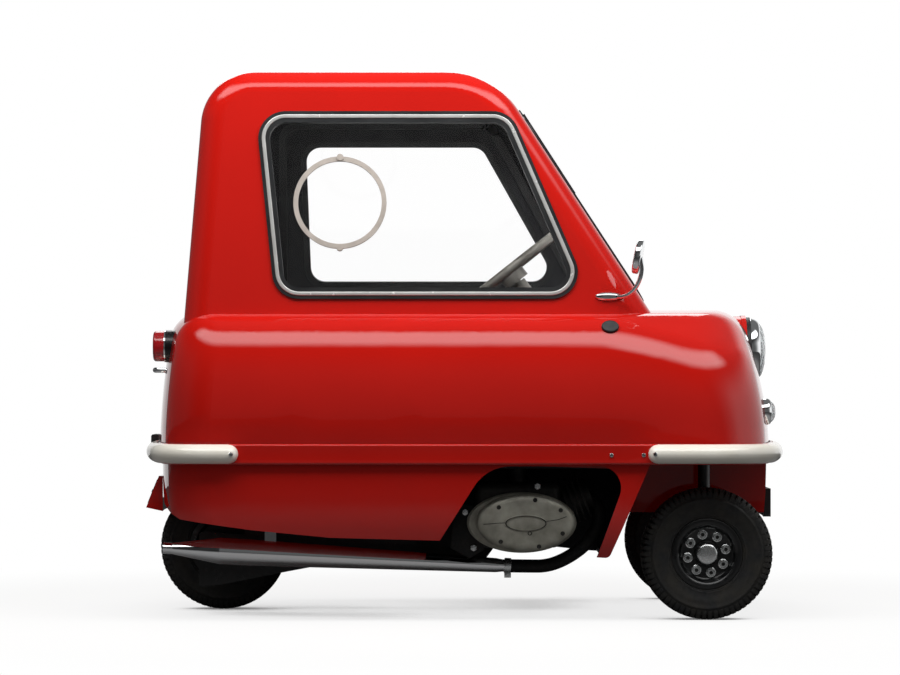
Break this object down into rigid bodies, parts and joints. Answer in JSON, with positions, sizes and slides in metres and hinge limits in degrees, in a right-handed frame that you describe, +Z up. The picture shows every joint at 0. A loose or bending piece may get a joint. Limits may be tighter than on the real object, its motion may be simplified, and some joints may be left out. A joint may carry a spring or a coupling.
{
  "type": "three-wheeled microcar",
  "caption": "Small closed three-wheeled city car with a moulded red shell, one side door, steered front wheels, a driven rear wheel and an open side-mounted engine.",
  "frame": {"origin": "on the ground under the middle of the car's length and width", "axes": "+X forward, +Y to the car's left, +Z up"},
  "size_m": [1.3709, 0.9862, 1.148],
  "materials": {
    "red_gelcoat": "gloss",
    "black_rubber": "matte",
    "tyre_rubber": "matte",
    "clear_glass": "clear",
    "chrome": "polished",
    "white_paint": "gloss",
    "black_paint": "satin",
    "cast_alloy": "cast",
    "red_lens": "translucent",
    "lamp_glass": "fluted",
    "grey_plastic": "gloss",
    "black_vinyl": "grained",
    "mirror_silver": "mirror",
    "bright_steel": "brushed"
  },
  "bodies": {
    "car": {"body_hinges": "chrome", "cabin_shell": "red_gelcoat", "chain_guard": "black_paint", "dash_shelf": "black_paint", "engine_block": "black_paint", "engine_cover": "cast_alloy", "exhaust_pipe": "black_paint", "filler_cap": "black_rubber", "fixed_glass": "clear_glass", "fixed_seals": "black_rubber", "front_bumper": "white_paint", "front_plate": "black_paint", "grab_handle": "chrome", "headlamp_lens": "lamp_glass", "headlamp_rim": "chrome", "hull_shell": "red_gelcoat", "kingpins": "black_paint", "mirror_glass": "mirror_silver", "mirror_stay": "chrome", "plate_lamp": "black_paint", "plate_plinth": "red_gelcoat", "rear_arm": "black_paint", "rear_bracket": "black_paint", "rear_bumper": "white_paint", "seat_back": "black_vinyl", "seat_base": "black_paint", "seat_cushion": "black_vinyl", "side_lamp_lenses": "lamp_glass", "side_lamps": "chrome", "side_window_bead": "chrome", "silencer": "chrome", "steering_column": "black_paint", "tail_lamp_bases": "chrome", "tail_lamp_lenses": "red_lens", "tub_shell": "red_gelcoat", "vent_ring": "grey_plastic", "wiper": "bright_steel"},
    "door": {"door_panel": "red_gelcoat", "door_glass": "clear_glass", "door_seal": "black_rubber", "door_bead": "chrome", "door_handle": "chrome", "door_hinges": "chrome"},
    "steering": {"steering_wheel": "grey_plastic"},
    "knuckle_r": {"knuckle_right": "black_paint"},
    "knuckle_l": {"knuckle_left": "black_paint"},
    "wheel_fr": {"tyre_front_right": "tyre_rubber", "rim_front_right": "black_paint"},
    "wheel_fl": {"tyre_front_left": "tyre_rubber", "rim_front_left": "black_paint"},
    "wheel_rear": {"tyre_rear": "tyre_rubber", "rim_rear": "black_paint"}
  },
  "joints": [
    {"name": "door_hinge", "type": "hinge", "parent": "car", "child": "door", "pos_m": [-0.424, 0.486, 0.505], "axis": [0, 0, 1], "range_deg": [0, 78]},
    {"name": "steer_right", "type": "hinge", "parent": "car", "child": "knuckle_r", "pos_m": [0.504, -0.282, 0.1375], "axis": [0, 0, 1], "range_deg": [-28, 28]},
    {"name": "steer_left", "type": "hinge", "parent": "car", "child": "knuckle_l", "pos_m": [0.504, 0.282, 0.1375], "axis": [0, 0, 1], "range_deg": [-28.5, 28.5]},
    {"name": "steering_turn", "type": "hinge", "parent": "car", "child": "steering", "pos_m": [0.097, -0.06, 0.735], "axis": [-0.62, 0, 0.7846], "range_deg": [-68.2, 68.2]},
    {"name": "spin_front_right", "type": "hinge", "parent": "knuckle_r", "child": "wheel_fr", "pos_m": [0.504, -0.345, 0.1375], "axis": [0, 1, 0], "continuous": true},
    {"name": "spin_front_left", "type": "hinge", "parent": "knuckle_l", "child": "wheel_fl", "pos_m": [0.504, 0.345, 0.1375], "axis": [0, 1, 0], "continuous": true},
    {"name": "spin_rear", "type": "hinge", "parent": "car", "child": "wheel_rear", "pos_m": [-0.523, 0, 0.1375], "axis": [0, 1, 0], "continuous": true}
  ],
  "couplings": [
    {"joint": "steer_left", "follows": "steer_right", "ratio": 1},
    {"joint": "steering_turn", "follows": "steer_right", "ratio": 2.4}
  ]
}
